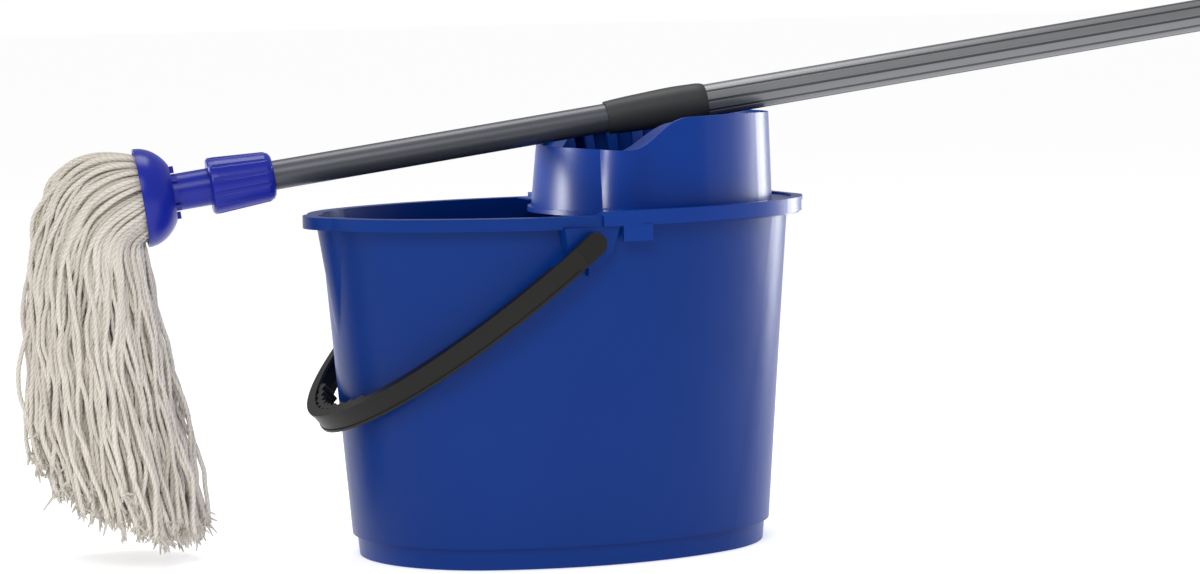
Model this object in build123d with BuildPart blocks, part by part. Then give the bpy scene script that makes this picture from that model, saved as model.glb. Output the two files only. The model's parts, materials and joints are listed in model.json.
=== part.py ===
"""Mop lying across an oval bucket with a plug-in wringer. Millimetres, +Z up, base centre at 0,0,0."""

import math
import os

from build123d import *

os.makedirs("parts", exist_ok=True)

# ---- bucket: half length along X, half width along Y, end radius ----
BUCKET_H = 257.0
BASE_A = 157.0
BASE_B = 115.0
BASE_R = 104.0
TOP_A = 183.0
TOP_B = 125.0
TOP_R = 95.0
WALL = 2.4
FLOOR = 3.0
RING_H = 16.0
RING_STEP = 3.5
FOOT_H = 3.0
FOOT_W = 5.0
LIP_OUT = 9.0
LIP_H = 9.0
LIP_T = 2.2
SPOUT_R = 46.0
SPOUT_OUT = 6.5
SPOUT_LOW = 130.0
PAD_R = 16.0

# ---- bail ----
PIVOT_X = -26.0
PIVOT_DROP = 19.5
BAIL_DIP = 39.0
BAIL_REACH = 212.0
BAIL_FULL = 1.85
STRAP_H = 16.4
STRAP_T = 4.6
STRAP_WEB = 2.6
STRAP_END = 13.0
PIN_R = 5.0
PIN_LONG = 10.5
GRIP_DEEP = 10.6
LOBE_R = 3.8
LOBES = 10

# ---- fits ----
RUN_FIT = 0.08
DROP_FIT = 0.3

# ---- wringer ----
COWL_IN = 4.6
COWL_BACK = 8.0
COWL_T = 3.0
COWL_LOW = 302.2
COWL_HIGH = 325.0
COWL_CORNER = 52.0
COWL_BLEND = 48.0
BULGE_X = 9.0
LOBE_X = 100.0
LOBE_TOP_R = 104.5
LOBE_FOOT_R = 112.5
STEP_X = 27.0
STEP_RUN = 30.0
PLUG_DEPTH = 5.0
FLANGE_T = 2.8
FLANGE_X = -17.5
FLANGE_FAR_X = 30.0
FLANGE_EDGE = 6.0
FLANGE_DISH = 1.6
SKIRT_T = 2.2
TAB_X = 9.0
TAB_W = 23.0
TAB_H = 12.0
BASKET_X = 80.0
BASKET_TOP_A = 76.0
BASKET_TOP_B = 80.0
BASKET_LOW_A = 40.0
BASKET_LOW_B = 44.0
BASKET_DEPTH = 145.0
BASKET_T = 2.4
SLOTS = 24
SLOT_TOP = 13.0
SLOT_LOW = 4.6
DRAIN_R = 3.0

# ---- mop, stations are measured along the handle's axis ----
TILT = 8.19
YAW = -12.0
PASS_X = 80.0
THIN_R = 11.0
THICK_R = 12.5
TUBE_T = 0.9
AXIS_GAP = 0.15
SOCKET_S = -341.0
SLEEVE_LONG = 48.0
SLEEVE_BIG_R = 21.2
SLEEVE_SMALL_R = 18.5
NECK_R = 13.9
CUP_R = 37.0
CUP_DEEP = 24.0
CUP_T = 2.2
CUP_S = -393.0
COLLAR_S = -36.0
COLLAR_LONG = 78.0
COLLAR_R = 14.9
INNER_LONG = 655.0
OUTER_LONG = 700.0
FLUTES = 10
FLUTE_DEPTH = 0.5
CAP_LONG = 34.0
HANG_R = 5.0
YARN_FOOT = 13.5

# ---- values that follow ----
RIM_A = TOP_A + LIP_OUT
RIM_B = TOP_B + LIP_OUT
LIP_Z = BUCKET_H - LIP_H
PIVOT_Z = BUCKET_H - PIVOT_DROP
EAR_Y = RIM_B - 0.5
STRAP_IN = RIM_B + SKIRT_T + DROP_FIT + 0.6
FLANGE_Z = BUCKET_H + 0.2
COWL_Z = BUCKET_H - PLUG_DEPTH
COWL_TOP = COWL_HIGH + 5.0
LOBE_SLOPE = (LOBE_FOOT_R - LOBE_TOP_R) / (COWL_HIGH + 5.0 - COWL_Z)
LEFT_LIP_X = LOBE_X - LOBE_FOOT_R + LOBE_SLOPE * (COWL_LOW - COWL_Z)
COS_T = math.cos(math.radians(TILT))
SIN_T = math.sin(math.radians(TILT))
COS_Y = math.cos(math.radians(YAW))
SIN_Y = math.sin(math.radians(YAW))
LIP_TOP = COWL_LOW + 0.5
RISE = SIN_T / COS_T
PASS_Z = LIP_TOP + (THIN_R + AXIS_GAP) / COS_T + (PASS_X - LEFT_LIP_X) * RISE / COS_Y
PASS = (PASS_X, 0, PASS_Z)
HANDLE_DIR = (COS_T * COS_Y, COS_T * SIN_Y, SIN_T)
HANDLE = Plane(origin=PASS, x_dir=(-SIN_Y, COS_Y, 0), z_dir=HANDLE_DIR)
SECTION = Plane(origin=PASS, x_dir=HANDLE_DIR, z_dir=(SIN_Y, -COS_Y, 0))
HANDLE_AXIS = Axis(PASS, HANDLE_DIR)
DIP = math.radians(BAIL_DIP)
BAIL = Plane(
    origin=(PIVOT_X, 0, PIVOT_Z),
    x_dir=(-math.cos(DIP), 0, -math.sin(DIP)),
    z_dir=(math.sin(DIP), 0, -math.cos(DIP)),
)


def oval(a, b, r, mode=Mode.ADD, x=0.0):
    """Oval of two side arcs and two end arcs that meet smoothly, centred at x."""
    side = ((a - r) ** 2 + b ** 2 - r ** 2) / (2 * (b - r))
    long = math.hypot(a - r, side - b)
    jx = side * (a - r) / long
    jy = side * (side - b) / long - (side - b)
    with BuildLine() as line:
        ThreePointArc((x - jx, jy), (x, b), (x + jx, jy))
        ThreePointArc((x + jx, jy), (x + a, 0), (x + jx, -jy))
        ThreePointArc((x + jx, -jy), (x, -b), (x - jx, -jy))
        ThreePointArc((x - jx, -jy), (x - a, 0), (x - jx, jy))
    make_face(line.edges(), mode=mode)


def wall_oval(z, inset):
    """Bucket wall outline at height z, moved in by inset."""
    k = z / BUCKET_H
    a = BASE_A + (TOP_A - BASE_A) * k - inset
    b = BASE_B + (TOP_B - BASE_B) * k - inset
    oval(a, b, BASE_R + (TOP_R - BASE_R) * k - inset)


def rim_outline(grow):
    """Rim outline with a pouring spout at each end."""
    oval(RIM_A + grow, RIM_B + grow, TOP_R + LIP_OUT + grow)
    with Locations((RIM_A + SPOUT_OUT - SPOUT_R, 0), (-RIM_A - SPOUT_OUT + SPOUT_R, 0)):
        Circle(SPOUT_R + grow)


def spouts(inset, mode):
    """Conical spout at each end, from nothing low down to full size at the rim."""
    for side in (-1, 1):
        low_a = BASE_A + (TOP_A - BASE_A) * SPOUT_LOW / BUCKET_H
        with BuildSketch(Plane.XY.offset(SPOUT_LOW)) as low:
            with Locations((side * (low_a - 22), 0)):
                Circle(21 - inset)
        with BuildSketch(Plane.XY.offset(BUCKET_H)) as high:
            with Locations((side * (TOP_A + SPOUT_OUT - SPOUT_R + LIP_OUT), 0)):
                Circle(SPOUT_R - LIP_OUT - inset)
        loft([low.sketch, high.sketch], mode=mode)


def turned(points, mode=Mode.ADD):
    """Solid turned about the handle's axis from (station, radius) points."""
    with BuildSketch(SECTION) as half:
        with BuildLine():
            Polyline(*points, close=True)
        make_face()
    revolve(half.sketch, axis=HANDLE_AXIS, mode=mode)


def turned_smooth(curve, closing, mode=Mode.ADD):
    """Solid turned from a smooth outer curve closed by straight runs."""
    with BuildSketch(SECTION) as half:
        with BuildLine():
            Spline(*curve)
            Polyline(curve[-1], *closing, curve[0])
        make_face()
    revolve(half.sketch, axis=HANDLE_AXIS, mode=mode)


def along(s0, s1, r, mode=Mode.ADD):
    """Round bar or bore along the handle between two stations."""
    with BuildSketch(HANDLE.offset(s0)) as disc:
        Circle(r)
    extrude(disc.sketch, amount=s1 - s0, mode=mode)


# ---- bucket ----
with BuildPart() as bucket:
    with BuildSketch(Plane.XY.offset(RING_H)):
        wall_oval(RING_H, -RING_STEP)
    with BuildSketch(Plane.XY.offset(BUCKET_H)):
        wall_oval(BUCKET_H, 0)
    loft()
    with BuildSketch():
        wall_oval(0, 0)
    with BuildSketch(Plane.XY.offset(RING_H)):
        wall_oval(RING_H, 0)
    loft()
    spouts(0, Mode.ADD)
    with BuildSketch(Plane.XY.offset(LIP_Z)):
        rim_outline(0)
    extrude(amount=LIP_H)
    with BuildSketch(Plane.XY.offset(LIP_Z)):
        rim_outline(-LIP_T)
        oval(TOP_A, TOP_B, TOP_R, mode=Mode.SUBTRACT)
        with Locations((RIM_A + SPOUT_OUT - SPOUT_R, 0), (-RIM_A - SPOUT_OUT + SPOUT_R, 0)):
            Circle(SPOUT_R - LIP_OUT + 1.0, mode=Mode.SUBTRACT)
    extrude(amount=LIP_H - LIP_T, mode=Mode.SUBTRACT)
    for side in (-1, 1):
        with BuildSketch(Plane(origin=(0, side * EAR_Y, 0), x_dir=(1, 0, 0), z_dir=(0, -1, 0))):
            with BuildLine():
                Polyline(
                    (PIVOT_X - 21, LIP_Z + 1),
                    (PIVOT_X + 22, LIP_Z + 1),
                    (PIVOT_X + 16, PIVOT_Z - 6),
                    (PIVOT_X + 7, PIVOT_Z - 15),
                    (PIVOT_X - 3, PIVOT_Z - 18),
                    (PIVOT_X - 13, PIVOT_Z - 14),
                    (PIVOT_X - 19, PIVOT_Z - 3),
                    close=True,
                )
            make_face()
        extrude(amount=side * 12)
        with Locations((PIVOT_X, side * (TOP_B - 2), PIVOT_Z - 15)):
            Box(2.2, 11, 18)
        with BuildSketch(Plane(origin=(0, side * EAR_Y, 0), x_dir=(1, 0, 0), z_dir=(0, -1, 0))):
            with Locations((PIVOT_X, PIVOT_Z)):
                Circle(PIN_R + RUN_FIT)
        extrude(amount=side * (PIN_LONG - 3), mode=Mode.SUBTRACT)
    with BuildSketch(Plane.XY.offset(FOOT_H + FLOOR)):
        wall_oval(FOOT_H + FLOOR, WALL)
    with BuildSketch(Plane.XY.offset(RING_H)):
        wall_oval(RING_H, WALL)
    loft(mode=Mode.SUBTRACT)
    with BuildSketch(Plane.XY.offset(RING_H - 0.01)):
        wall_oval(RING_H, WALL)
    with BuildSketch(Plane.XY.offset(BUCKET_H + 0.01)):
        wall_oval(BUCKET_H, WALL)
    loft(mode=Mode.SUBTRACT)
    spouts(WALL, Mode.SUBTRACT)
    with BuildSketch():
        wall_oval(0, FOOT_W)
        Circle(PAD_R, mode=Mode.SUBTRACT)
    extrude(amount=FOOT_H, mode=Mode.SUBTRACT)
    for turn in range(0, 180, 45):
        with BuildSketch(Plane.XY.offset(1.0)):
            Rectangle(2 * BASE_B - 2 * FOOT_W, 2.2, rotation=turn)
        extrude(amount=FOOT_H)
bucket.part.label = "bucket_shell"
export_step(bucket.part, "parts/bucket_shell.step")


# ---- bail ----
def bail_line(offset, start, end, count):
    """Points along the bail's outer face moved in by offset, as (reach, side)."""
    full = 2.0 / BAIL_FULL
    wide = STRAP_IN + STRAP_T
    points = []
    for i in range(count + 1):
        t = math.radians(start + (end - start) * i / count)
        c = max(math.cos(t), 1e-9)
        s = abs(math.sin(t)) + 1e-9
        u = BAIL_REACH * c ** full
        v = math.copysign(wide * s ** full, math.sin(t))
        nu = (c ** (2 - full)) / BAIL_REACH
        nv = math.copysign((s ** (2 - full)) / wide, math.sin(t))
        n = math.hypot(nu, nv)
        points.append((u - offset * nu / n, v - offset * nv / n))
    return points


def bail_band(low, high, start, end, count):
    """Face between two offsets of the bail line."""
    outer = bail_line(low, start, end, count)
    inner = bail_line(high, start, end, count)
    with BuildLine() as line:
        Spline(*outer)
        Line(outer[-1], inner[-1])
        Spline(*inner[::-1])
        Line(inner[0], outer[0])
    make_face(line.edges())


with BuildPart() as bail:
    with BuildSketch(BAIL.offset(-STRAP_H / 2)):
        bail_band(0, STRAP_WEB, -86, 86, 36)
    extrude(amount=STRAP_H)
    with BuildSketch(BAIL.offset(STRAP_H / 2 - 2.0), BAIL.offset(-STRAP_H / 2)):
        bail_band(-0.8, 1.0, -83, 83, 36)
    extrude(amount=2.0)
    with BuildSketch(BAIL.offset(STRAP_H / 2 - 2.4), BAIL.offset(-STRAP_H / 2)):
        bail_band(1.0, STRAP_WEB + 4.4, -79, 79, 36)
    extrude(amount=2.4)
    for side in (-1, 1):
        with BuildSketch(Plane(origin=(0, side * STRAP_IN, 0), x_dir=(1, 0, 0), z_dir=(0, -1, 0))):
            with Locations((PIVOT_X, PIVOT_Z)):
                Circle(STRAP_H / 2)
            with BuildLine():
                Polyline(
                    (PIVOT_X - STRAP_H / 2 * math.sin(DIP), PIVOT_Z + STRAP_H / 2 * math.cos(DIP)),
                    (PIVOT_X + STRAP_H / 2 * math.sin(DIP), PIVOT_Z - STRAP_H / 2 * math.cos(DIP)),
                    (
                        PIVOT_X + STRAP_H / 2 * math.sin(DIP) - STRAP_END * math.cos(DIP),
                        PIVOT_Z - STRAP_H / 2 * math.cos(DIP) - STRAP_END * math.sin(DIP),
                    ),
                    (
                        PIVOT_X - STRAP_H / 2 * math.sin(DIP) - STRAP_END * math.cos(DIP),
                        PIVOT_Z + STRAP_H / 2 * math.cos(DIP) - STRAP_END * math.sin(DIP),
                    ),
                    close=True,
                )
            make_face()
        extrude(amount=-side * STRAP_T)
        with BuildSketch(Plane(origin=(0, side * STRAP_IN, 0), x_dir=(1, 0, 0), z_dir=(0, -1, 0))):
            with Locations((PIVOT_X, PIVOT_Z)):
                Circle(PIN_R)
        extrude(amount=side * (PIN_LONG - 0.6))
    with BuildSketch(BAIL.offset(-STRAP_H / 2 + 1)):
        bail_band(GRIP_DEEP - 1.6, GRIP_DEEP + 1.6, -24, 24, 20)
    extrude(amount=STRAP_H - 2)
    lobes = bail_line(GRIP_DEEP, -22, 22, LOBES - 1)
    with BuildSketch(BAIL.offset(-STRAP_H / 2 + 1)):
        with Locations(*lobes):
            Circle(LOBE_R)
    extrude(amount=STRAP_H - 2)
    for t in (-24, -8, 8, 24):
        near = bail_line(1.0, t - 0.01, t + 0.01, 1)[0]
        far = bail_line(GRIP_DEEP, t - 0.01, t + 0.01, 1)[0]
        mid = ((near[0] + far[0]) / 2, (near[1] + far[1]) / 2)
        turn = math.degrees(math.atan2(near[1] - far[1], near[0] - far[0]))
        with BuildSketch(BAIL.offset(-STRAP_H / 2 + 1)):
            with Locations(mid):
                Rectangle(GRIP_DEEP - 1, 2.4, rotation=turn)
        extrude(amount=STRAP_H - 2)
bail.part.label = "bail_handle"
export_step(bail.part, "parts/bail_handle.step")


# ---- wringer cowl ----
def cowl_bulge(z, inset):
    """Raised end's outline: the bucket's oval cut off on the left, with corners that meet it smoothly."""
    lean = (z - BUCKET_H) * 0.025 + inset + COWL_IN
    share = (z - COWL_Z) / (COWL_TOP - COWL_Z)
    corner = COWL_CORNER + (COWL_BLEND - COWL_CORNER) * share - inset
    face_x = BULGE_X + inset + 0.05 * (z - BUCKET_H)
    a = TOP_A - lean
    b = TOP_B - lean
    r = TOP_R - lean
    side = ((a - r) ** 2 + b ** 2 - r ** 2) / (2 * (b - r))
    drop = side - b
    long = math.hypot(a - r, drop)
    end = Vector(side * (a - r) / long - COWL_BACK, side * drop / long - drop)
    hub = Vector(-COWL_BACK, -drop)
    reach = face_x + corner + COWL_BACK
    core = Vector(face_x + corner, math.sqrt((side - corner) ** 2 - reach ** 2) - drop)
    touch = hub + (core - hub).normalized() * side
    bend = core + ((core - hub).normalized() + Vector(-1, 0)).normalized() * corner
    flank = hub + ((touch - hub) + (end - hub)).normalized() * side
    with BuildLine() as line:
        Line((face_x, -core.Y), (face_x, core.Y))
        ThreePointArc((face_x, core.Y), bend, touch)
        ThreePointArc(touch, flank, end)
        ThreePointArc(end, (a - COWL_BACK, 0), (end.X, -end.Y))
        ThreePointArc((end.X, -end.Y), (flank.X, -flank.Y), (touch.X, -touch.Y))
        ThreePointArc((touch.X, -touch.Y), (bend.X, -bend.Y), (face_x, -core.Y))
    make_face(line.edges())


def cowl_solid(low, high, inset, mode):
    """Everything inside the cowl's wall, between two heights."""
    with BuildSketch(Plane.XY.offset(low)) as foot:
        cowl_bulge(low, inset)
    with BuildSketch(Plane.XY.offset(high)) as head:
        cowl_bulge(high, inset)
    loft([foot.sketch, head.sketch], mode=mode)


def lobe_cone(low, high, inset):
    """Low round end: a cone kept to the left of the oval's widest part."""
    cone = Solid.make_cone(
        LOBE_FOOT_R - inset - LOBE_SLOPE * (low - COWL_Z),
        LOBE_FOOT_R - inset - LOBE_SLOPE * (high - COWL_Z),
        high - low,
        Plane((LOBE_X, 0, low)),
    )
    keep = Pos(LOBE_X - 165, 0, (low + high) / 2) * Box(250, 400, high - low)
    return cone & keep


TOP_LINE = (
    (-60.0, COWL_LOW + 0.4),
    (-14.0, COWL_LOW + 0.2),
    (2.0, COWL_LOW - 0.4),
    (STEP_X - 12, COWL_LOW - 1.2),
    (STEP_X, COWL_LOW - 0.3),
    (STEP_X + STEP_RUN / 2, (COWL_LOW + COWL_HIGH) / 2),
    (STEP_X + STEP_RUN, COWL_HIGH - 1.5),
    (STEP_X + STEP_RUN + 14, COWL_HIGH),
    (TOP_A - 60, COWL_HIGH + 0.3),
    (TOP_A + 20, COWL_HIGH + 1.0),
)

lobe_outside = lobe_cone(COWL_Z, COWL_TOP, 0)
lobe_foot = lobe_cone(COWL_Z, COWL_Z + 3.5, -2.6)
lobe_inside = lobe_cone(COWL_Z - 1, COWL_TOP + 1, COWL_T)
with BuildSketch() as mouth:
    oval(TOP_A - WALL, TOP_B - WALL, TOP_R - WALL)
    with Locations((BULGE_X + 201, 0)):
        Rectangle(400, 400, mode=Mode.SUBTRACT)

with BuildPart() as cowl:
    with BuildSketch(Plane.XY.offset(FLANGE_Z)):
        rim_outline(SKIRT_T + DROP_FIT)
        with Locations((FLANGE_X - 300, 0)):
            Rectangle(600, 600, mode=Mode.SUBTRACT)
        with Locations((FLANGE_FAR_X - 300, 300 + TOP_B - 20)):
            Rectangle(600, 600, mode=Mode.SUBTRACT)
        with Locations((RIM_A + 9, 0)):
            Rectangle(20, 2 * SPOUT_R + 12, mode=Mode.SUBTRACT)
        add(mouth.sketch, mode=Mode.SUBTRACT)
    extrude(amount=FLANGE_T)
    with BuildSketch(Plane.XY.offset(FLANGE_Z + FLANGE_T - FLANGE_DISH)):
        oval(RIM_A - FLANGE_EDGE, RIM_B - FLANGE_EDGE, TOP_R + LIP_OUT - FLANGE_EDGE)
    extrude(amount=FLANGE_T, mode=Mode.SUBTRACT)
    with BuildSketch(Plane.XY.offset(LIP_Z + 1.5)):
        rim_outline(SKIRT_T + DROP_FIT)
        with Locations((FLANGE_X - 300, 0)):
            Rectangle(600, 600, mode=Mode.SUBTRACT)
        with Locations((FLANGE_FAR_X - 300, 300 + TOP_B - 20)):
            Rectangle(600, 600, mode=Mode.SUBTRACT)
        with Locations((RIM_A + SPOUT_OUT, 0)):
            Rectangle(60, 2 * SPOUT_R + 24, mode=Mode.SUBTRACT)
        oval(
            RIM_A + DROP_FIT,
            RIM_B + DROP_FIT,
            TOP_R + LIP_OUT + DROP_FIT,
            mode=Mode.SUBTRACT,
        )
    extrude(amount=LIP_H)
    cowl_solid(COWL_Z, COWL_TOP, 0, Mode.ADD)
    add(lobe_outside)
    add(lobe_foot)
    with Locations((TAB_X, -RIM_B - DROP_FIT - SKIRT_T / 2, LIP_Z + 2 - TAB_H / 2)):
        Box(TAB_W, SKIRT_T, TAB_H)
    cowl_solid(COWL_Z - 1, COWL_TOP + 1, COWL_T, Mode.SUBTRACT)
    add(lobe_inside, mode=Mode.SUBTRACT)
    with BuildSketch(Plane.XZ):
        with BuildLine():
            Spline(*TOP_LINE)
            Polyline(TOP_LINE[-1], (TOP_A + 20, COWL_TOP + 20), (-60, COWL_TOP + 20), TOP_LINE[0])
        make_face()
    extrude(amount=200, both=True, mode=Mode.SUBTRACT)
cowl.part.label = "wringer_cowl"
export_step(cowl.part, "parts/wringer_cowl.step")


# ---- wringer basket ----
BASKET_TOP = COWL_LOW - 3.8
LEDGE_DROP = 3.8
LEDGE_T = 3.0
BASKET_LOW = BASKET_TOP - BASKET_DEPTH
basket_face = lobe_cone(COWL_Z, COWL_TOP, COWL_T + RUN_FIT)


def basket_oval(z, inset):
    """Basket outline at height z, moved in by inset."""
    k = (z - BASKET_LOW) / BASKET_DEPTH
    a = BASKET_LOW_A + (BASKET_TOP_A - BASKET_LOW_A) * k - inset
    b = BASKET_LOW_B + (BASKET_TOP_B - BASKET_LOW_B) * k - inset
    with Locations((BASKET_X, 0)):
        Ellipse(a, b)


def lip_level(x):
    """Height of the cowl's top line at x."""
    for near, far in zip(TOP_LINE, TOP_LINE[1:]):
        if x <= far[0]:
            return near[1] + (far[1] - near[1]) * (x - near[0]) / (far[0] - near[0])
    return TOP_LINE[-1][1]


def ledge_band(low, high):
    """Band that follows the cowl's top line, from low to high below it."""
    upper = [(x, z - high) for x, z in TOP_LINE]
    lower = [(x, z - low) for x, z in TOP_LINE]
    with BuildSketch(Plane.XZ) as band:
        with BuildLine() as line:
            Spline(*upper)
            Line(upper[-1], lower[-1])
            Spline(*lower[::-1])
            Line(lower[0], upper[0])
        make_face(line.edges())
    return band.sketch


with BuildPart() as basket:
    cowl_solid(COWL_Z, COWL_TOP, COWL_T + RUN_FIT, Mode.ADD)
    add(basket_face)
    extrude(ledge_band(LEDGE_DROP + LEDGE_T, LEDGE_DROP), amount=200, both=True, mode=Mode.INTERSECT)
    with BuildSketch(Plane.XY.offset(BASKET_LOW)):
        basket_oval(BASKET_LOW, 0)
    with BuildSketch(Plane.XY.offset(COWL_TOP)):
        basket_oval(COWL_TOP, 0)
    loft()
    with BuildSketch(Plane.XY.offset(BASKET_LOW + BASKET_T)):
        basket_oval(BASKET_LOW + BASKET_T, BASKET_T)
    with BuildSketch(Plane.XY.offset(COWL_TOP + 0.01)):
        basket_oval(COWL_TOP, BASKET_T)
    loft(mode=Mode.SUBTRACT)
    extrude(ledge_band(LEDGE_DROP, -60), amount=200, both=True, mode=Mode.SUBTRACT)
    for n in range(SLOTS):
        turn = 360.0 * (n + 0.5) / SLOTS
        out = (math.cos(math.radians(turn)), math.sin(math.radians(turn)), 0)
        across = (-out[1], out[0], 0)
        edge = min(lip_level(BASKET_X + BASKET_TOP_A * out[0] + step) for step in (-8, 0, 8))
        top = edge - LEDGE_DROP - LEDGE_T - 1.0
        with BuildSketch(Plane(origin=(BASKET_X, 0, 0), x_dir=across, z_dir=out)):
            with BuildLine():
                Polyline(
                    (-SLOT_TOP / 2, top - 2),
                    (2 - SLOT_TOP / 2, top),
                    (SLOT_TOP / 2 - 2, top),
                    (SLOT_TOP / 2, top - 2),
                    (SLOT_LOW / 2, BASKET_LOW + 12),
                    (-SLOT_LOW / 2, BASKET_LOW + 12),
                    close=True,
                )
            make_face()
    extrude(amount=160, mode=Mode.SUBTRACT)
    with BuildSketch(Plane.XY.offset(BASKET_LOW - 1)):
        with Locations((BASKET_X, 0)):
            Circle(DRAIN_R)
            with PolarLocations(14, 6):
                Circle(DRAIN_R)
            with PolarLocations(27, 12):
                Circle(DRAIN_R)
    extrude(amount=BASKET_T + 2, mode=Mode.SUBTRACT)
basket.part.label = "wringer_basket"
export_step(basket.part, "parts/wringer_basket.step")

# ---- mop head ----
CUP_BACK = CUP_S + CUP_DEEP
STEM_IN = CUP_BACK - CUP_T - 3.0
TUBE_S = SOCKET_S - 11.0
DISC_S = CUP_S + 8.4
SLEEVE_END = SOCKET_S + SLEEVE_LONG

with BuildPart() as mop_cup:
    turned_smooth(
        [(CUP_S, CUP_R), (CUP_S + 9, CUP_R - 1.6), (CUP_S + 17, CUP_R - 6.6), (CUP_BACK, NECK_R + 7.5)],
        [(CUP_BACK, 0), (CUP_S, 0)],
    )
    turned_smooth(
        [
            (CUP_S - 0.1, CUP_R - CUP_T),
            (CUP_S + 8, CUP_R - 1.6 - CUP_T),
            (CUP_S + 15, CUP_R - 6.4 - CUP_T),
            (CUP_BACK - CUP_T, NECK_R + 5.5),
        ],
        [(CUP_BACK - CUP_T, 0), (CUP_S - 0.1, 0)],
        mode=Mode.SUBTRACT,
    )
    along(CUP_BACK - CUP_T - 1, CUP_BACK + 1, NECK_R + RUN_FIT, mode=Mode.SUBTRACT)
    for turn in (0, 90, 180, 270):
        with BuildSketch(HANDLE.offset(CUP_BACK - 1.5)):
            with PolarLocations(NECK_R + 3.3, 1, start_angle=turn):
                Rectangle(5.0, 6.5)
        extrude(amount=5.0)
mop_cup.part.label = "mop_cup"
export_step(mop_cup.part, "parts/mop_cup.step")

with BuildPart() as socket_stem:
    turned(
        [
            (DISC_S + 0.02, 0),
            (DISC_S + 0.02, 6.0),
            (STEM_IN, 7.0),
            (STEM_IN, NECK_R + 3.2),
            (CUP_BACK - CUP_T - RUN_FIT, NECK_R + 3.2),
            (CUP_BACK - CUP_T - RUN_FIT, NECK_R),
            (SOCKET_S + 8, NECK_R),
            (SOCKET_S + 9, NECK_R + 1.5),
            (SLEEVE_END - 14, NECK_R + 1.5),
            (SLEEVE_END - 5, NECK_R - 0.8),
            (SLEEVE_END - 5, 0),
        ]
    )
    along(TUBE_S, SLEEVE_END, THIN_R + 0.02, mode=Mode.SUBTRACT)
    with BuildSketch(HANDLE.offset(SOCKET_S + 14)):
        Rectangle(60, 1.4)
        Rectangle(1.4, 60)
    extrude(amount=SLEEVE_LONG, mode=Mode.SUBTRACT)
    along(DISC_S - 1, DISC_S + 13, 1.6, mode=Mode.SUBTRACT)
    for turn in (45, 135, 225, 315):
        with BuildSketch(HANDLE.offset(CUP_BACK + 0.5)):
            with PolarLocations(NECK_R + 0.4, 1, start_angle=turn):
                Rectangle(2.6, 6.0)
        extrude(amount=4.0)
socket_stem.part.label = "socket_stem"
export_step(socket_stem.part, "parts/socket_stem.step")

with BuildPart() as clamp_sleeve:
    turned(
        [
            (SOCKET_S, NECK_R + RUN_FIT),
            (SOCKET_S, SLEEVE_BIG_R - 1.5),
            (SOCKET_S + 1.5, SLEEVE_BIG_R),
            (SOCKET_S + 6, SLEEVE_BIG_R),
            (SLEEVE_END - 5, SLEEVE_SMALL_R + 0.3),
            (SLEEVE_END - 1.6, SLEEVE_SMALL_R - 1.3),
            (SLEEVE_END, SLEEVE_SMALL_R - 3.4),
            (SLEEVE_END, THIN_R + 0.3),
            (SLEEVE_END - 4.4, THIN_R + 0.3),
            (SLEEVE_END - 4.6, NECK_R - 0.6 + RUN_FIT),
            (SLEEVE_END - 14 + 0.6, NECK_R + 1.5 + RUN_FIT),
            (SOCKET_S + 8 - 0.4, NECK_R + 1.5 + RUN_FIT),
            (SOCKET_S + 7.6, NECK_R + RUN_FIT),
        ]
    )
    for turn in range(15, 375, 30):
        side = math.cos(math.radians(turn))
        rise = math.sin(math.radians(turn))
        inward = (SLEEVE_BIG_R - SLEEVE_SMALL_R) / SLEEVE_LONG
        lead = HANDLE.z_dir - (HANDLE.x_dir * side + HANDLE.y_dir * rise) * inward
        with BuildSketch(HANDLE.offset(SOCKET_S + 3)):
            with PolarLocations(SLEEVE_BIG_R + 1.6, 1, start_angle=turn):
                Circle(2.4)
        extrude(amount=SLEEVE_LONG, dir=lead, mode=Mode.SUBTRACT)
clamp_sleeve.part.label = "clamp_sleeve"
export_step(clamp_sleeve.part, "parts/clamp_sleeve.step")

DISC_R = CUP_R - 11.0
with BuildPart() as yarn_disc:
    turned([(DISC_S - 2.4, 0), (DISC_S - 2.4, DISC_R), (DISC_S, DISC_R), (DISC_S, 0)])
    for turn in range(0, 360, 45):
        with BuildSketch(HANDLE.offset(DISC_S - 0.2)):
            with PolarLocations(DISC_R - 4.0, 1, start_angle=turn):
                Circle(1.5)
        extrude(amount=4.4, taper=8)
    along(DISC_S - 4, DISC_S + 1, 1.9, mode=Mode.SUBTRACT)
yarn_disc.part.label = "yarn_disc"
export_step(yarn_disc.part, "parts/yarn_disc.step")

with BuildPart() as disc_screw:
    turned(
        [
            (DISC_S - 4.4, 0),
            (DISC_S - 4.4, 2.6),
            (DISC_S - 3.4, 3.6),
            (DISC_S - 2.4, 3.6),
            (DISC_S - 2.4, 1.55),
            (DISC_S + 10.0, 1.55),
            (DISC_S + 12.0, 0),
        ]
    )
    with BuildSketch(HANDLE.offset(DISC_S - 4.6)):
        Rectangle(3.6, 0.9)
        Rectangle(0.9, 3.6)
    extrude(amount=1.4, mode=Mode.SUBTRACT)
disc_screw.part.label = "disc_screw"
export_step(disc_screw.part, "parts/disc_screw.step")

# ---- yarn: one soft solid that arches out of the cup and hangs ----
MOUTH = HANDLE.origin + HANDLE.z_dir * (CUP_S - 0.6)
HANG_TOP = MOUTH.Z
YARN_RINGS = (
    (1.0, -32.5, 34.0, 36.0),
    (0.9, -38.5, 39.5, 42.0),
    (0.745, -37.5, 46.0, 50.0),
    (0.58, -36.5, 52.0, 57.0),
    (0.375, -31.0, 56.0, 62.0),
    (0.2, -22.0, 57.0, 63.0),
    (0.0, -11.0, 51.0, 59.0),
)


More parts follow.
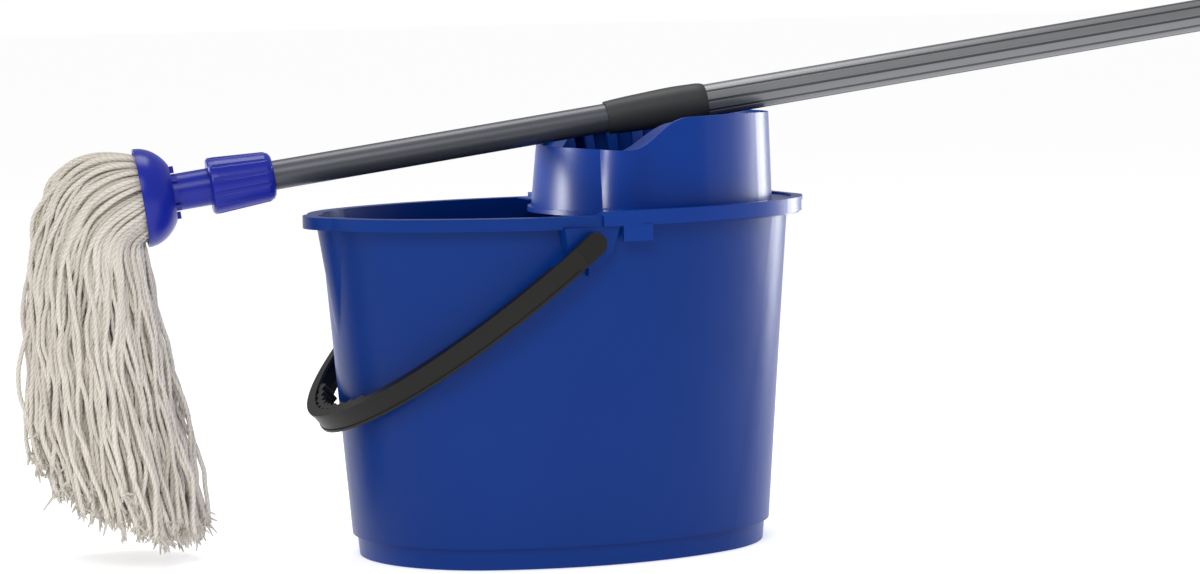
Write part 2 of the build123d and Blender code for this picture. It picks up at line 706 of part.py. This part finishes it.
def yarn_rings(scale, rows, drop):
    """Level cross-sections of the hanging part, scaled about their own centres."""
    rings = []
    for share, x, a, b in rows:
        level = YARN_FOOT + (HANG_TOP - YARN_FOOT) * share - drop
        with BuildSketch(Plane.XY.offset(level)) as ring:
            with Locations((MOUTH.X + x, MOUTH.Y + 3)):
                Ellipse(a * scale, b * scale, rotation=YAW)
        rings.append(ring.sketch)
    return rings


with BuildPart() as mop_yarn:
    turned(
        [
            (CUP_S - 0.6, 0),
            (CUP_S - 0.6, CUP_R - CUP_T - 1.5),
            (CUP_S - 20, CUP_R + 1.5),
            (CUP_S - 40, CUP_R - 1),
            (CUP_S - 56, CUP_R - 14),
            (CUP_S - 62, 0),
        ]
    )
    loft(yarn_rings(1.0, YARN_RINGS, 0), ruled=True)
    loft(yarn_rings(0.6, YARN_RINGS[3:], 1), ruled=True, mode=Mode.SUBTRACT)
mop_yarn.part.label = "mop_yarn"
export_step(mop_yarn.part, "parts/mop_yarn.step")

# ---- handle ----
OUTER_S = COLLAR_S + COLLAR_LONG - 21.0
OUTER_END = OUTER_S + OUTER_LONG
BORE_R = THICK_R - TUBE_T
INNER_END = TUBE_S + 0.2 + INNER_LONG

with BuildPart() as inner_tube:
    along(TUBE_S + 0.2, INNER_END, THIN_R)
    along(TUBE_S - 1, INNER_END + 1, THIN_R - TUBE_T, mode=Mode.SUBTRACT)
inner_tube.part.label = "inner_tube"
export_step(inner_tube.part, "parts/inner_tube.step")

with BuildPart() as guide_plug:
    turned(
        [
            (INNER_END - 22, 0),
            (INNER_END - 22, THIN_R - TUBE_T - 0.02),
            (INNER_END, THIN_R - TUBE_T - 0.02),
            (INNER_END, BORE_R - RUN_FIT),
            (INNER_END + 10, BORE_R - RUN_FIT),
            (INNER_END + 12, BORE_R - 2),
            (INNER_END + 12, 0),
        ]
    )
    along(INNER_END - 23, INNER_END + 13, 6.5, mode=Mode.SUBTRACT)
guide_plug.part.label = "guide_plug"
export_step(guide_plug.part, "parts/guide_plug.step")

with BuildPart() as outer_tube:
    along(OUTER_S, OUTER_END, THICK_R)
    with BuildSketch(HANDLE.offset(OUTER_S)):
        with PolarLocations(THICK_R + 2.0 - FLUTE_DEPTH, FLUTES):
            Circle(2.0)
    extrude(amount=OUTER_LONG, mode=Mode.SUBTRACT)
    along(OUTER_S - 1, OUTER_END + 1, BORE_R, mode=Mode.SUBTRACT)
outer_tube.part.label = "outer_tube"
export_step(outer_tube.part, "parts/outer_tube.step")

THREAD_R = THICK_R + 1.0
NOSE_S = COLLAR_S + 20.0
with BuildPart() as lock_insert:
    turned(
        [
            (NOSE_S, 0),
            (NOSE_S, THIN_R + 0.9),
            (NOSE_S + 20, THREAD_R),
            (OUTER_S + 15, THREAD_R),
            (OUTER_S + 15, 0),
        ]
    )
    along(NOSE_S - 1, OUTER_S - RUN_FIT, THIN_R + RUN_FIT, mode=Mode.SUBTRACT)
    along(OUTER_S - RUN_FIT - 0.01, OUTER_S + 16, THICK_R + 0.02, mode=Mode.SUBTRACT)
    with BuildSketch(HANDLE.offset(NOSE_S - 1)):
        Rectangle(60, 1.2)
        Rectangle(1.2, 60)
    extrude(amount=26, mode=Mode.SUBTRACT)
lock_insert.part.label = "lock_insert"
export_step(lock_insert.part, "parts/lock_insert.step")

COLLAR_END = COLLAR_S + COLLAR_LONG
with BuildPart() as lock_collar:
    turned_smooth(
        [
            (COLLAR_S, THIN_R + 1.5),
            (COLLAR_S + 16, THIN_R + 2.6),
            (COLLAR_S + 35, COLLAR_R - 0.5),
            (COLLAR_S + 56, COLLAR_R),
            (COLLAR_END - 10, COLLAR_R - 0.3),
            (COLLAR_END - 2.5, COLLAR_R - 1.0),
            (COLLAR_END, COLLAR_R - 1.9),
        ],
        [(COLLAR_END, 0), (COLLAR_S, 0)],
    )
    turned(
        [
            (COLLAR_S - 1, 0),
            (COLLAR_S - 1, THIN_R + 0.1),
            (NOSE_S - 1, THIN_R + 0.1),
            (NOSE_S - 0.6, THIN_R + 0.9 + RUN_FIT),
            (NOSE_S + 19.4, THREAD_R + RUN_FIT),
            (OUTER_S + 15.2, THREAD_R + RUN_FIT),
            (OUTER_S + 15.2, THICK_R + RUN_FIT),
            (COLLAR_END + 1, THICK_R + RUN_FIT),
            (COLLAR_END + 1, 0),
        ],
        mode=Mode.SUBTRACT,
    )
lock_collar.part.label = "lock_collar"
export_step(lock_collar.part, "parts/lock_collar.step")

with BuildPart() as handle_cap:
    turned(
        [
            (OUTER_END - 20, 0),
            (OUTER_END - 20, BORE_R - 0.02),
            (OUTER_END + 0.02, BORE_R - 0.02),
            (OUTER_END + 0.02, THICK_R + 0.9),
            (OUTER_END + 6, THICK_R + 0.9),
            (OUTER_END + 10, THICK_R - 2.0),
            (OUTER_END + 10, 0),
        ]
    )
    with BuildSketch(SECTION):
        with Locations((OUTER_END + CAP_LONG / 2, 0)):
            RectangleRounded(CAP_LONG, 2 * THICK_R - 2, 9)
        with Locations((OUTER_END + CAP_LONG - 12, 0)):
            Circle(HANG_R, mode=Mode.SUBTRACT)
    extrude(amount=3.5, both=True)
    along(OUTER_END - 21, OUTER_END - 2, BORE_R - 2.4, mode=Mode.SUBTRACT)
handle_cap.part.label = "handle_cap"
export_step(handle_cap.part, "parts/handle_cap.step")
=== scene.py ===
"""Mop, bucket and wringer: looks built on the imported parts, in metres."""

import json
import math

import bpy
import numpy as np
from mathutils import Matrix, Vector


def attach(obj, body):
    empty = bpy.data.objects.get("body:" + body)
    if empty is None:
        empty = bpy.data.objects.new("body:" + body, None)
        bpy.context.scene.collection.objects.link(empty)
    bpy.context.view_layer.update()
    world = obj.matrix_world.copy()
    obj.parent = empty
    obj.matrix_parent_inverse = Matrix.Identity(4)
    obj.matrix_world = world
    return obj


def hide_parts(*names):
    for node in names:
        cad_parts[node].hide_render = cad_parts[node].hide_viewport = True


bpy.ops.wm.read_factory_settings(use_empty=True)
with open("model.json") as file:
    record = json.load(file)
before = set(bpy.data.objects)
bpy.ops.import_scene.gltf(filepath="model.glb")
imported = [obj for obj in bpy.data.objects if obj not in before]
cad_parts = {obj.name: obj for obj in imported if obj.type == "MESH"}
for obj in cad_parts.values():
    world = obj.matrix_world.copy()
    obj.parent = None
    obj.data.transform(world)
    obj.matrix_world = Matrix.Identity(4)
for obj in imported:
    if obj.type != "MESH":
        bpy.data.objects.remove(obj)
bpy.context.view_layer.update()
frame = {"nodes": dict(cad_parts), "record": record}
scene = bpy.context.scene

# ---- places that the looks share with the parts ----
TILT = math.radians(8.19)
YAW = math.radians(-12.0)
ALONG = np.array(
    [math.cos(TILT) * math.cos(YAW), math.cos(TILT) * math.sin(YAW), math.sin(TILT)]
)
SIDE = np.array([-math.sin(YAW), math.cos(YAW), 0.0])
UP = np.cross(ALONG, SIDE)
PASS = np.array([0.080, 0.0, 0.3268177])
MOUTH_BACK = 0.3936
MOUTH = PASS - MOUTH_BACK * ALONG
THICK_R = 0.0125
GROOVE_DEEP = 0.00042
GROOVE_EDGE = 0.00008
# Colour of the painted shade in the flute grooves of the thick tube.
GROOVE_PAINTED_SHADE = (0.018, 0.019, 0.021)


# ---- shader sums ----
NOISE_ROUGH = 0.55


class Sock:
    """A shader value that adds and multiplies like a number."""

    def __init__(self, tree, socket):
        self.tree = tree
        self.socket = socket

    def _op(self, kind, *others, first=None):
        node = self.tree.nodes.new("ShaderNodeMath")
        node.operation = kind
        values = [self, *others] if first is None else [first, self]
        for place, value in enumerate(values):
            feed(self.tree, node.inputs[place], value)
        return Sock(self.tree, node.outputs[0])

    def __add__(self, other):
        return self._op("ADD", other)

    def __radd__(self, other):
        return self._op("ADD", other)

    def __sub__(self, other):
        return self._op("SUBTRACT", other)

    def __rsub__(self, other):
        return self._op("SUBTRACT", first=other)

    def __mul__(self, other):
        return self._op("MULTIPLY", other)

    def __rmul__(self, other):
        return self._op("MULTIPLY", other)

    def __pow__(self, other):
        return self._op("POWER", other)

    def above(self, low, high):
        """0 below low, 1 above high, smooth between."""
        node = self.tree.nodes.new("ShaderNodeMapRange")
        node.interpolation_type = "SMOOTHSTEP"
        feed(self.tree, node.inputs["Value"], self)
        node.inputs["From Min"].default_value = low
        node.inputs["From Max"].default_value = high
        return Sock(self.tree, node.outputs[0])

    def sine(self):
        return self._op("SINE")


def feed(tree, slot, value):
    """Links a shader value to an input, or sets the input to a constant."""
    if isinstance(value, Sock):
        tree.links.new(value.socket, slot)
    else:
        slot.default_value = value


class Look:
    """One material: a principled surface and the nodes that feed it."""

    def __init__(self, name, color, rough, metal=0.0, **fixed):
        self.material = bpy.data.materials.new(name)
        self.material.use_nodes = True
        self.tree = self.material.node_tree
        self.surface = self.tree.nodes["Principled BSDF"]
        self.set("Base Color", (*color, 1.0))
        self.set("Roughness", rough)
        self.set("Metallic", metal)
        for key, value in fixed.items():
            self.set(key.replace("_", " "), value)

    def set(self, name, value):
        feed(self.tree, self.surface.inputs[name], value)

    def node(self, kind, output=0, **values):
        """Makes a node; a value goes to the input of its name, else to the setting."""
        made = self.tree.nodes.new("ShaderNode" + kind)
        for key, value in values.items():
            name = key.replace("_", " ")
            if name in made.inputs:
                feed(self.tree, made.inputs[name], value)
            else:
                setattr(made, key, value)
        return Sock(self.tree, made.outputs[output])

    def noise(self, scale, detail, stretch=(1, 1, 1)):
        """Noise on object coordinates, stretched along the axes."""
        coords = self.node("TexCoord", "Object")
        spot = self.node("Mapping", "Vector", Vector=coords, Scale=stretch)
        return self.node(
            "TexNoise", "Fac", Vector=spot, Scale=scale, Detail=detail, Roughness=NOISE_ROUGH
        )

    def mix(self, share, low, high):
        """Colour between low and high."""
        made = self.tree.nodes.new("ShaderNodeMix")
        made.data_type = "RGBA"
        feed(self.tree, made.inputs[0], share)
        for place, value in ((6, low), (7, high)):
            opaque = value if isinstance(value, Sock) else (*value, 1.0)
            feed(self.tree, made.inputs[place], opaque)
        return Sock(self.tree, made.outputs[2])

    def bump(self, height, strength, distance, normal=None):
        """Normal from a height, on top of another normal if one is given."""
        values = {"Height": height, "Strength": strength, "Distance": distance}
        if normal is not None:
            values["Normal"] = normal
        return self.node("Bump", **values)

    def vector(self, kind, first, second):
        """Vector difference or dot product."""
        made = self.tree.nodes.new("ShaderNodeVectorMath")
        made.operation = kind
        feed(self.tree, made.inputs[0], first)
        feed(self.tree, made.inputs[1], second)
        return Sock(self.tree, made.outputs["Value" if kind == "DOT_PRODUCT" else "Vector"])

    def joined(self, x, y, z):
        """Vector from three values."""
        return self.node("CombineXYZ", "Vector", X=x, Y=y, Z=z)

    def parts(self, spot, count):
        """The first values of a vector."""
        made = self.tree.nodes.new("ShaderNodeSeparateXYZ")
        feed(self.tree, made.inputs[0], spot)
        return [Sock(self.tree, made.outputs[n]) for n in range(count)]


def plastic(name, color, deep, rough, grain=0.10, shine=0.14):
    """Moulded plastic: cloudy colour, faint flow marks, fine grain and scuffs."""
    look = Look(name, color, rough, Specular_IOR_Level=shine)
    cloud = look.noise(9.0, 3.0)
    scuff = look.noise(240.0, 4.0, stretch=(1.0, 1.0, 0.12)).above(0.66, 0.82)
    shade = look.mix(cloud, deep, color)
    rubbed = tuple(min(1.0, c * 1.6 + 0.02) for c in color)
    look.set("Base Color", look.mix(scuff * 0.06, shade, rubbed))
    look.set("Roughness", rough - 0.05 + cloud * 0.10 + scuff * 0.08)
    flow = look.noise(26.0, 2.0, stretch=(1.0, 1.0, 0.35))
    fine = look.noise(1900.0, 2.0)
    wave = look.bump(flow, 0.22, 0.0009)
    look.set("Normal", look.bump(fine, grain, 0.00006, normal=wave))
    return look.material


def rod_axes(look):
    """Distances along the handle and to its side and top, as shader values."""
    spot = look.node("TexCoord", "Object")
    shifted = look.vector("SUBTRACT", spot, tuple(PASS))
    return [look.vector("DOT_PRODUCT", shifted, tuple(way)) for way in (ALONG, SIDE, UP)]


def painted_tube(name, color, deep, groove):
    """Painted tube: streaks along it, fine orange peel, and painted shade in the grooves if it is
    fluted.
    """
    look = Look(name, color, 0.34, metal=0.35)
    along, side, up = rod_axes(look)
    line = look.joined(along * 3.0, side * 160.0, up * 160.0)
    streak = look.node("TexNoise", "Fac", Vector=line, Scale=1.0, Detail=3.0)
    speck = look.noise(900.0, 2.0)
    shade = look.mix(streak, deep, color)
    if groove:
        # Painted shade: the flute grooves are darkened in the colour, standing in for the shade
        # that falls in them.
        reach = (side * side + up * up) ** 0.5
        groove_painted_shade = 1.0 - reach.above(THICK_R - GROOVE_DEEP, THICK_R - GROOVE_EDGE)
        shade = look.mix(groove_painted_shade * 0.78, shade, GROOVE_PAINTED_SHADE)
    look.set("Base Color", shade)
    look.set("Roughness", 0.27 + streak * 0.14 + speck * 0.05)
    look.set("Normal", look.bump(speck, 0.10, 0.00005))
    return look.material


def steel(name):
    """Plated screw steel with turning marks."""
    look = Look(name, (0.55, 0.55, 0.56), 0.3, metal=1.0)
    rub = look.noise(700.0, 3.0, stretch=(1, 1, 0.2))
    look.set("Base Color", look.mix(rub, (0.42, 0.42, 0.43), (0.62, 0.62, 0.63)))
    look.set("Roughness", 0.22 + rub * 0.2)
    return look.material


def cotton(name):
    """Three-ply cotton yarn: twisted plies with painted shade in the grooves between them, fuzz,
    and a tone for each strand that is partly its own and partly painted shade, darker in the
    middle of the bundle.
    """
    look = Look(name, (0.66, 0.60, 0.51), 0.92, Sheen_Weight=0.35, Sheen_Roughness=0.5)
    around, length = look.parts(look.node("TexCoord", "UV"), 2)
    plies = ((around - length) * (6.0 * math.pi)).sine() * 0.5 + 0.5
    # Strand tone: partly each strand's own, partly painted shade, as strands in the middle of the
    # bundle are made darker.
    tone_and_depth_shade = look.node("Attribute", "Fac", attribute_name="tone_and_depth_shade")
    fuzz = look.noise(1500.0, 4.0)
    patch = look.noise(28.0, 2.0)
    light = look.mix(tone_and_depth_shade, (0.62, 0.56, 0.485), (0.86, 0.815, 0.745))
    light = look.mix(patch.above(0.5, 0.75) * 0.35, light, (0.80, 0.74, 0.64))
    # Painted shade: the colour is darkened in the grooves between the twisted plies.
    ply_gap_painted_shade = look.mix((1.0 - plies) * 0.38, light, (0.44, 0.365, 0.28))
    look.set("Base Color", look.mix(fuzz.above(0.55, 0.8) * 0.3, ply_gap_painted_shade, (0.88, 0.85, 0.79)))
    look.set("Roughness", 0.84 + fuzz * 0.14)
    twist = look.bump(plies, 0.75, 0.0006)
    look.set("Normal", look.bump(fuzz, 0.5, 0.0003, normal=twist))
    return look.material


MATERIALS = {
    "bucket_blue": plastic(
        "bucket_blue", (0.0004, 0.032, 0.218), (0.0003, 0.026, 0.188), 0.33, shine=0.15
    ),
    "wringer_blue": plastic(
        "wringer_blue", (0.0005, 0.036, 0.262), (0.0004, 0.030, 0.228), 0.29, shine=0.17
    ),
    "socket_blue": plastic(
        "socket_blue", (0.012, 0.022, 0.330), (0.009, 0.018, 0.285), 0.27, shine=0.25
    ),
    "disc_plastic": plastic("disc_plastic", (0.014, 0.026, 0.30), (0.011, 0.021, 0.26), 0.45),
    "bail_black": plastic(
        "bail_black", (0.013, 0.0125, 0.011), (0.009, 0.0085, 0.008), 0.36, 0.2, 0.18
    ),
    "plug_plastic": plastic("plug_plastic", (0.03, 0.03, 0.032), (0.02, 0.02, 0.022), 0.5),
    "collar_plastic": plastic(
        "collar_plastic", (0.046, 0.048, 0.051), (0.037, 0.039, 0.042), 0.5, 0.2, 0.3
    ),
    "thin_tube": painted_tube("thin_tube", (0.098, 0.103, 0.118), (0.072, 0.076, 0.088), False),
    "thick_tube": painted_tube("thick_tube", (0.235, 0.24, 0.25), (0.17, 0.175, 0.185), True),
    "screw_steel": steel("screw_steel"),
    "cotton_yarn": cotton("cotton_yarn"),
}

for node, thing in frame["nodes"].items():
    slot_name = next(s["material_slot"] for s in frame["record"]["subparts"] if s["node"] == node)
    thing.data.materials.clear()
    thing.data.materials.append(MATERIALS[slot_name])

# ---- yarn strands ----
# Sections of the hanging bundle: height, middle from the cup's mouth, and the half widths.
RING_LEVELS = np.array([0.0, 0.0649, 0.1099, 0.1626, 0.205, 0.2449, 0.2706])
RING_X = np.array([-0.011, -0.022, -0.031, -0.0365, -0.0375, -0.0385, -0.0325])
RING_A = np.array([0.051, 0.057, 0.056, 0.052, 0.046, 0.0395, 0.034])
RING_B = np.array([0.059, 0.063, 0.062, 0.057, 0.050, 0.042, 0.036])
BUNDLE_ASIDE = 0.003

STRANDS = 440
STRAND_R = 0.00172
STEP = 0.0028
EDGES = 8
PIECES = 5
GOLDEN = 2.399963
TURN = 6.28
PLY_TURN = 0.014

# How the strands leave the cup: the mouth they fill, then the way they lead off.
MOUTH_R = 0.031
MOUTH_FILL = 0.97
MOUTH_SUNK = 0.0045
LEAD_LIFT = 0.50
LEAD_DROP = 0.85
LEAD_ASIDE = 0.30

# The arch over to the hanging part, and the part that hangs.
FALL_TOP = 0.231
FALL_TOP_DROP = 0.018
FALL_END = -0.12
ARCH_OUT, ARCH_OUT_HIGH = 0.012, 0.046
ARCH_UP, ARCH_UP_HIGH = 0.005, 0.066
ARCH_POINTS = 60
FALL_POINTS = 200

# Waves in a strand: how long and how wide. They grow from the cup on.
WAVES = ((0.130, 0.0034), (0.060, 0.0010), (0.024, 0.00025))
WAVE_START = 0.09
DRIFT = 0.0046
DRIFT_MOST = 0.012

# Strand lengths: in the middle, then what the place in the bundle adds or takes.
LENGTH = 0.252
LENGTH_SPREAD = 0.007
LENGTH_OUTER = 0.020
LENGTH_NEAR_HANDLE = 0.014
LENGTH_FAR_END = 0.058
LENGTH_ASIDE = 0.034

# The loose tufts at a strand's end.
TUFTS = 7
TUFT_RADII = np.array([0.0012, 0.0011, 0.0009, 0.0004])
TUFT_BACK = 0.0022
TUFT_STRAY = 0.42
TUFT_CURL = 0.0014
LOWEST_STRAND = 0.006
LOWEST_TUFT = 0.002
rng = np.random.default_rng(7)


def hang_point(z, u, v):
    """Place in the hanging bundle at height z, u towards the handle and v across."""
    plan = np.array([math.cos(YAW), math.sin(YAW)])
    cross = np.array([-math.sin(YAW), math.cos(YAW)])
    a = np.interp(z, RING_LEVELS, RING_A) * u
    b = np.interp(z, RING_LEVELS, RING_B) * v
    x = MOUTH[0] + np.interp(z, RING_LEVELS, RING_X) + a * plan[0] + b * cross[0]
    y = MOUTH[1] + BUNDLE_ASIDE + a * plan[1] + b * cross[1]
    return np.stack([x, y, z * np.ones_like(x)], axis=-1)


def strand_line(u, v, spread, length):
    """One strand's centre line: out of the cup, over the arch and down."""
    high = (1.0 - u) / 2.0
    out = -ALONG
    start = MOUTH + MOUTH_R * (SIDE * v * MOUTH_FILL - UP * u * MOUTH_FILL) - out * MOUTH_SUNK
    rise = LEAD_LIFT * high - LEAD_DROP * abs(v) * (1.2 - high)
    lead = out + UP * rise + SIDE * LEAD_ASIDE * v
    lead = lead / np.linalg.norm(lead)
    level = FALL_TOP - FALL_TOP_DROP * high
    below = hang_point(np.array([level]), u * spread, v * spread)[0]
    first = start + lead * (ARCH_OUT + ARCH_OUT_HIGH * high * (1.0 - 0.45 * abs(v)))
    up = ARCH_UP + ARCH_UP_HIGH * high * (1.0 - 0.3 * abs(v))
    second = below + np.array([0.0, 0.0, up])
    t = np.linspace(0.0, 1.0, ARCH_POINTS)[:, None]
    arch = (
        (1 - t) ** 3 * start
        + 3 * (1 - t) ** 2 * t * first
        + 3 * (1 - t) * t ** 2 * second
        + t ** 3 * below
    )
    levels = np.linspace(level, FALL_END, FALL_POINTS)[1:]
    fall = hang_point(levels, u * spread, v * spread)
    line = np.concatenate([arch, fall])
    run = np.concatenate([[0.0], np.cumsum(np.linalg.norm(np.diff(line, axis=0), axis=1))])
    stops = np.arange(0.0, length, STEP)
    path = np.stack([np.interp(stops, run, line[:, k]) for k in range(3)], axis=1)
    grow = np.clip(stops / WAVE_START, 0.0, 1.0)[:, None]
    for wave, size in WAVES:
        turn = rng.uniform(0, 2 * math.pi, 2)
        rate = rng.uniform(0.8, 1.25, 2)
        sway = [np.sin(stops / wave * 2 * math.pi * rate[k] + turn[k]) for k in range(2)]
        shift = np.stack([*sway, np.zeros_like(stops)], axis=1)
        path = path + shift * grow * size * rng.uniform(0.5, 1.2)
    aside = np.clip(rng.normal(0.0, DRIFT, 2), -DRIFT_MOST, DRIFT_MOST)
    drift = np.append(aside, 0.0)
    path = path + drift * (np.clip(stops / length, 0, 1)[:, None] ** 1.5)
    return path, stops


def tube(path, radii, edges, phase):
    """Rings of points round a path."""
    ahead = np.gradient(path, axis=0)
    ahead /= np.linalg.norm(ahead, axis=1)[:, None] + 1e-12
    side = np.cross(ahead, np.array([0.3, 0.95, 0.05]))
    side /= np.linalg.norm(side, axis=1)[:, None]
    top = np.cross(ahead, side)
    turn = np.linspace(0, 2 * math.pi, edges, endpoint=False) + phase
    cosine, sine = np.cos(turn)[None, :, None], np.sin(turn)[None, :, None]
    ring = cosine * side[:, None, :] + sine * top[:, None, :]
    return path[:, None, :] + ring * radii[:, None, None]


class Bundle:
    """Collects closed tubes and makes one mesh of them."""

    def __init__(self):
        self.points, self.faces, self.uvs, self.tones_and_depth_shade = [], [], [], []
        self.count = 0

    def add(self, path, radii, stops, tone_and_depth_shade, edges=EDGES):
        rings = tube(path, radii, edges, rng.uniform(0, TURN))
        rows = len(path)
        first = self.count
        self.points.append(rings.reshape(-1, 3))
        self.points.append(np.array([path[0], path[-1]]))
        near = first + rows * edges
        far = near + 1
        for r in range(rows - 1):
            v0, v1 = stops[r] / PLY_TURN, stops[r + 1] / PLY_TURN
            for e in range(edges):
                n = (e + 1) % edges
                low, high = first + r * edges, first + (r + 1) * edges
                u0, u1 = e / edges, (e + 1) / edges
                self.faces.append((low + e, low + n, high + n, high + e))
                self.uvs += [u0, v0, u1, v0, u1, v1, u0, v1]
        last = first + (rows - 1) * edges
        for e in range(edges):
            n = (e + 1) % edges
            self.faces.append((first + n, first + e, near))
            self.uvs += [0.2, 0.0, 0.3, 0.0, 0.25, 0.05]
            self.faces.append((last + e, last + n, far))
            self.uvs += [0.2, 1.0, 0.3, 1.0, 0.25, 1.05]
        self.count += rows * edges + 2
        self.tones_and_depth_shade.append(np.full(rows * edges + 2, tone_and_depth_shade))

    def finish(self, name):
        mesh = bpy.data.meshes.new(name)
        mesh.from_pydata(np.concatenate(self.points).tolist(), [], self.faces)
        layer = mesh.uv_layers.new(name="UVMap")
        layer.data.foreach_set("uv", np.array(self.uvs, dtype=np.float32))
        # Tone for each point; it carries the painted shade of the inner strands as well as each
        # strand's own tone.
        tones_and_depth_shade = mesh.attributes.new("tone_and_depth_shade", "FLOAT", "POINT")
        tones_and_depth_shade.data.foreach_set("value", np.concatenate(self.tones_and_depth_shade).astype(np.float32))
        mesh.polygons.foreach_set("use_smooth", [True] * len(mesh.polygons))
        mesh.update()
        made = bpy.data.objects.new(name, mesh)
        scene.collection.objects.link(made)
        made.data.materials.append(MATERIALS["cotton_yarn"])
        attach(made, "mop")
        return made


bundles = [Bundle() for _ in range(PIECES)]
for i in range(STRANDS):
    share = math.sqrt((i + 0.5) / STRANDS)
    angle = i * GOLDEN + rng.normal(0, 0.12)
    u, v = share * math.cos(angle), share * math.sin(angle)
    spread = (0.30 + 0.67 * share) / max(share, 0.05)
    left = max(0.0, -u)
    length = LENGTH - LENGTH_OUTER * share - LENGTH_NEAR_HANDLE * max(0.0, u)
    length += rng.normal(0, LENGTH_SPREAD)
    length += (
        left * LENGTH_FAR_END * rng.uniform(0.15, 1.0)
        + abs(v) * LENGTH_ASIDE * rng.uniform(0.5, 1.0)
    )
    path, stops = strand_line(u, v, min(spread, 3.0), length)
    keep = path[:, 2] > LOWEST_STRAND
    path, stops = path[keep], stops[keep]
    radii = STRAND_R * (1.0 + 0.06 * np.sin(stops / 0.018 + rng.uniform(0, TURN)))
    radii = radii * np.where(stops > stops[-1] - 0.006, 1.12, 1.0)
    # Tone: a random part that is the strand's own, plus painted shade that darkens strands nearer
    # the middle of the bundle.
    tone_and_depth_shade = float(np.clip(0.35 + 0.45 * share + rng.normal(0, 0.16), 0, 1))
    bundle = bundles[int(((angle / (2 * math.pi)) % 1.0) * PIECES)]
    bundle.add(path, radii, stops, tone_and_depth_shade)
    tip = path[-1]
    down = path[-1] - path[-4]
    down = down / (np.linalg.norm(down) + 1e-9)
    for _ in range(TUFTS):
        stray = down + rng.normal(0, TUFT_STRAY, 3)
        long = rng.uniform(0.0045, 0.008)
        part = np.linspace(0, 1, len(TUFT_RADII))[:, None]
        curl = rng.normal(0, TUFT_CURL, 3)
        tuft = tip - down * TUFT_BACK + stray * long * part + curl * part ** 2
        tuft[:, 2] = np.maximum(tuft[:, 2], LOWEST_TUFT)
        bundle.add(tuft, TUFT_RADII, np.linspace(0, 0.01, len(TUFT_RADII)), tone_and_depth_shade, 4)

for place, bundle in enumerate(bundles):
    strands = bundle.finish("yarn_strands_%d" % (place + 1))
    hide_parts("mop_yarn")

# ---- floor, light, camera ----
FLOOR_SIZE = 60
FLOOR_LEVEL = -0.0006
FLOOR_GLOW = 0.60
WORLD_GLOW = 0.42
WORLD_SEEN = 1.0
WHITE = (1.0, 1.0, 1.0, 1.0)

bpy.ops.mesh.primitive_plane_add(size=FLOOR_SIZE, location=(0, 0, FLOOR_LEVEL))
floor = bpy.context.object
floor.name = "floor"
pale = Look(
    "floor_pale", (0.9, 0.9, 0.9), 1.0, Specular_IOR_Level=0.0, Emission_Strength=FLOOR_GLOW
)
pale.set("Emission Color", WHITE)
floor.data.materials.append(pale.material)

# The world is brighter where the camera sees it than where it lights the object.
world = bpy.data.worlds.new("world")
scene.world = world
world.use_nodes = True
sky = world.node_tree.nodes
join = world.node_tree.links.new
glow = sky["Background"]
clear = sky.new("ShaderNodeBackground")
for shade, strength in ((glow, WORLD_GLOW), (clear, WORLD_SEEN)):
    shade.inputs["Color"].default_value = WHITE
    shade.inputs["Strength"].default_value = strength
path_kind = sky.new("ShaderNodeLightPath")
blend = sky.new("ShaderNodeMixShader")
join(path_kind.outputs["Is Camera Ray"], blend.inputs[0])
join(glow.outputs[0], blend.inputs[1])
join(clear.outputs[0], blend.inputs[2])
join(blend.outputs[0], sky["World Output"].inputs["Surface"])
scene.view_settings.view_transform = "Standard"


def lamp(name, place, aim, size, power):
    """Oblong soft light that is aimed at a point."""
    data = bpy.data.lights.new(name, "AREA")
    data.shape = "RECTANGLE"
    data.size, data.size_y = size
    data.energy = power
    made = bpy.data.objects.new(name, data)
    scene.collection.objects.link(made)
    made.location = place
    made.rotation_mode = "QUATERNION"
    made.rotation_quaternion = (Vector(aim) - Vector(place)).to_track_quat("-Z", "Y")
    return made


lamp("key", (-1.1, -2.0, 1.9), (0, 0, 0.12), (1.2, 1.2), 26)
lamp("top", (0.1, 0.5, 2.2), (0, 0, 0.2), (1.0, 1.0), 18)

# Strip lamps for the highlights on the glossy plastic; they light nothing else.
moulded = bpy.data.collections.new("moulded_parts")
for node in ("bucket_shell", "wringer_cowl", "mop_cup", "socket_stem", "clamp_sleeve"):
    moulded.objects.link(frame["nodes"][node])
bucket_only = bpy.data.collections.new("bucket_only")
bucket_only.objects.link(frame["nodes"]["bucket_shell"])
for name, place, aim, size, power, lit in (
    ("left_strip", (-1.36, 0.98, 0.42), (0, 0, 0.3), (0.28, 0.82), 40, moulded),
    ("right_strip", (1.56, 0.42, 0.42), (0, 0, 0.3), (0.55, 0.82), 20, moulded),
    ("low_strip", (-0.66, 0.27, 0.13), (-0.12, 0.0, 0.13), (0.10, 0.26), 1.6, bucket_only),
):
    strip = lamp(name, place, aim, size, power)
    strip.light_linking.receiver_collection = lit

CAMERA_PLACE = (-1.0304, -2.5689, 0.4279)
CAMERA_LENS = 110.16
CAMERA_SENSOR = 36
LOOK_TURN = 0.393
LOOK_DOWN = 0.084
LOOK_ROLL = -0.019

camera = bpy.data.objects.new("camera", bpy.data.cameras.new("camera"))
scene.collection.objects.link(camera)
scene.camera = camera
camera.data.lens = CAMERA_LENS
camera.data.sensor_width = CAMERA_SENSOR
camera.location = CAMERA_PLACE
look_along = Vector(
    (
        math.sin(LOOK_TURN) * math.cos(LOOK_DOWN),
        math.cos(LOOK_TURN) * math.cos(LOOK_DOWN),
        -math.sin(LOOK_DOWN),
    )
)
roll = Matrix.Rotation(LOOK_ROLL, 3, "Z").to_quaternion()
camera.rotation_mode = "QUATERNION"
camera.rotation_quaternion = look_along.to_track_quat("-Z", "Y") @ roll
